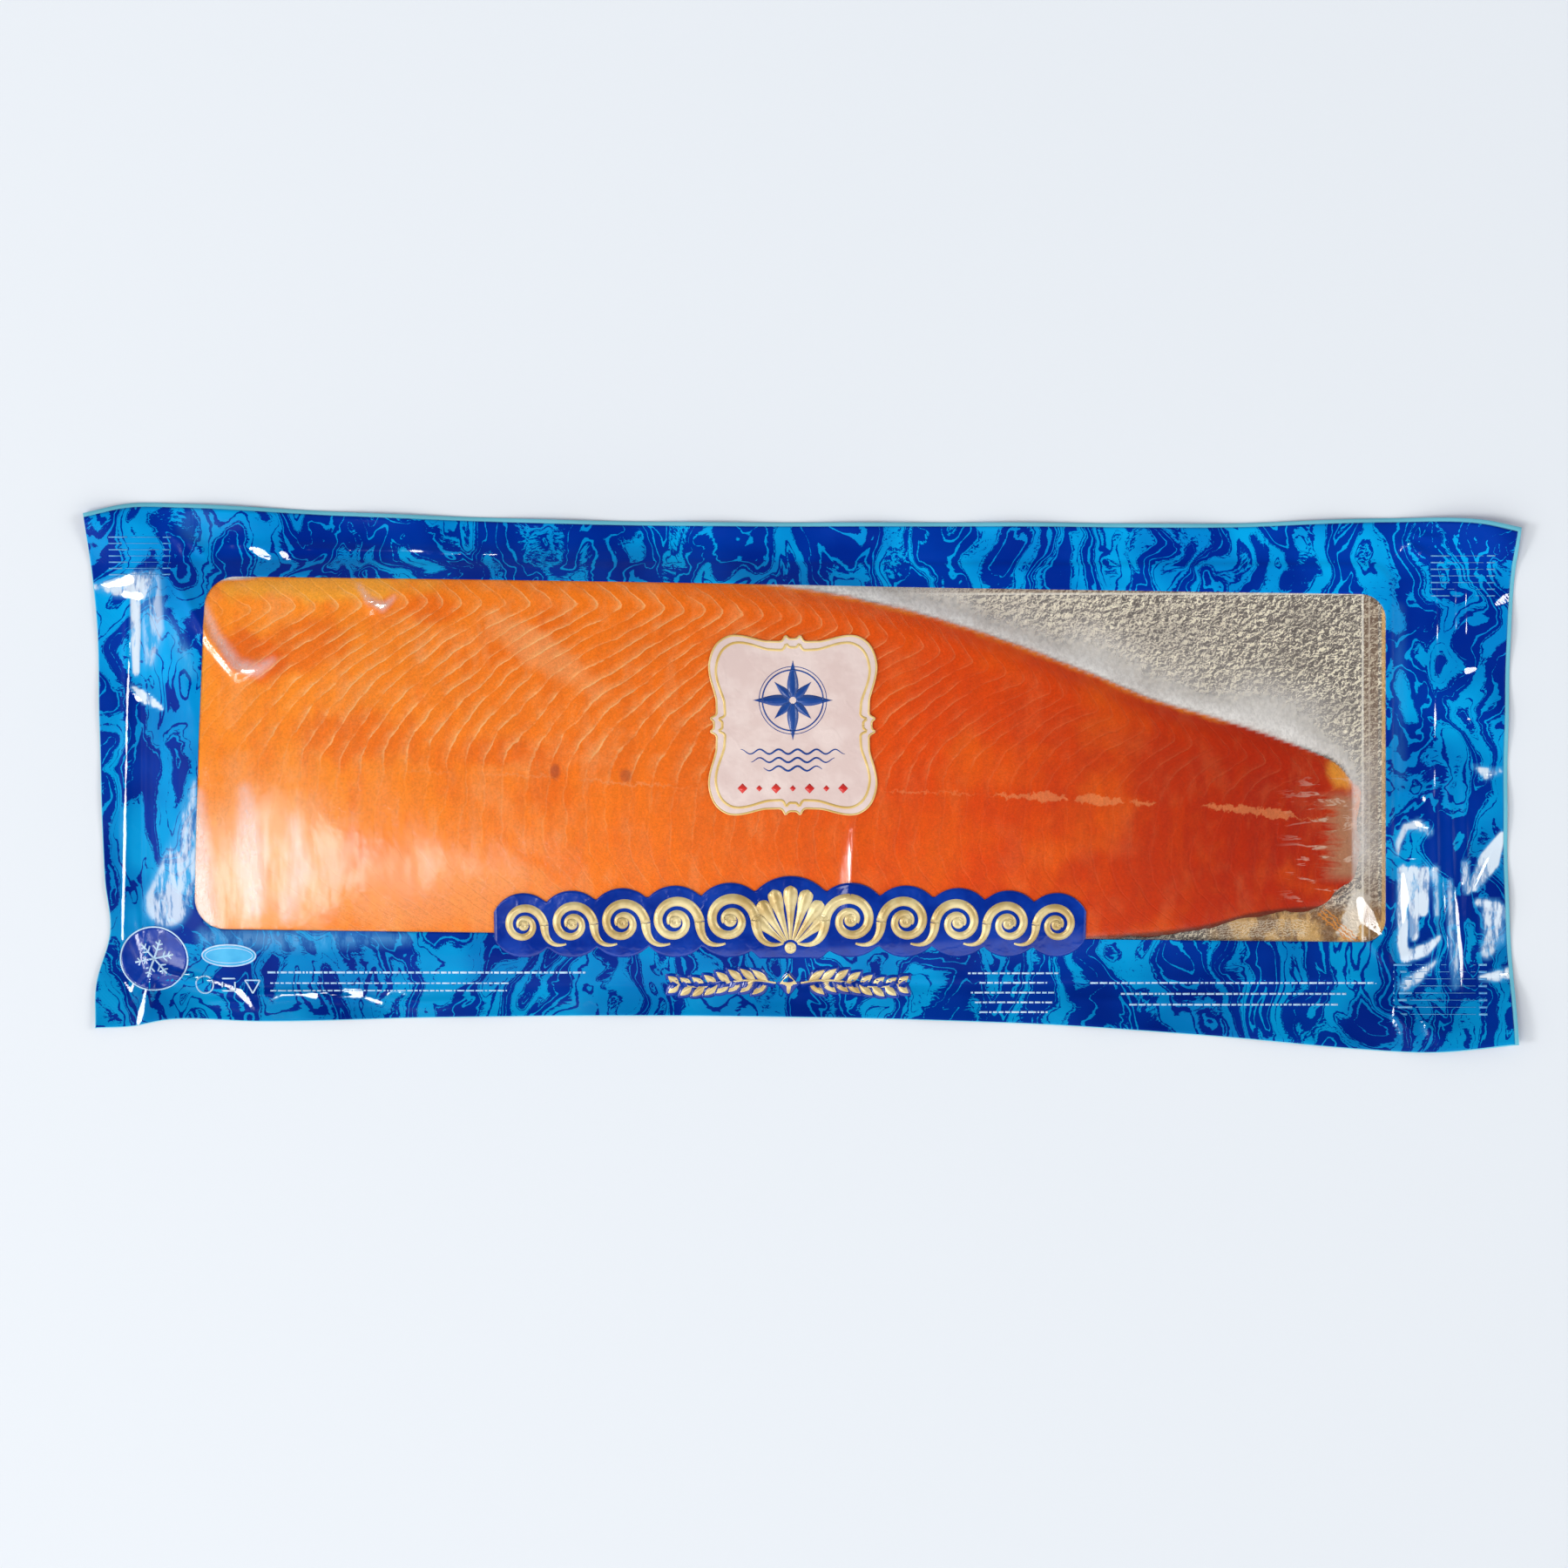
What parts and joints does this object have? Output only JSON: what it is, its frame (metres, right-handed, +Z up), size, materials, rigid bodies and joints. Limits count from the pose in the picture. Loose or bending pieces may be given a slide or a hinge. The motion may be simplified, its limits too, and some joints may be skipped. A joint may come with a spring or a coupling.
{
  "type": "vacuum pack of smoked salmon",
  "caption": "Flat vacuum pouch with a clear window, holding a whole side of smoked salmon on a metallised board.",
  "frame": {"origin": "middle of the pack's footprint, on the surface it lies on", "axes": "+X along the pack, from the thick end of the fish to its tail; +Y across the pack, towards the edge over the bare corner of the board; +Z up, out of the window"},
  "size_m": [0.6923, 0.2651, 0.0261],
  "materials": {
    "printed_film": "two blues in a marbled print on glossy film",
    "clear_film": "clear glossy film, a little milky where it spans a gap",
    "salmon": "moist orange flesh with pale lines of fat",
    "board": "metallised card with a fine crinkle, between silver and gold",
    "gold_print": "satin gold print",
    "label_print": "pale pink print with a thin gold rim and navy lines",
    "white_print": "pale print"
  },
  "bodies": {
    "root": {"pouch": "printed_film"}
  },
  "joints": []
}
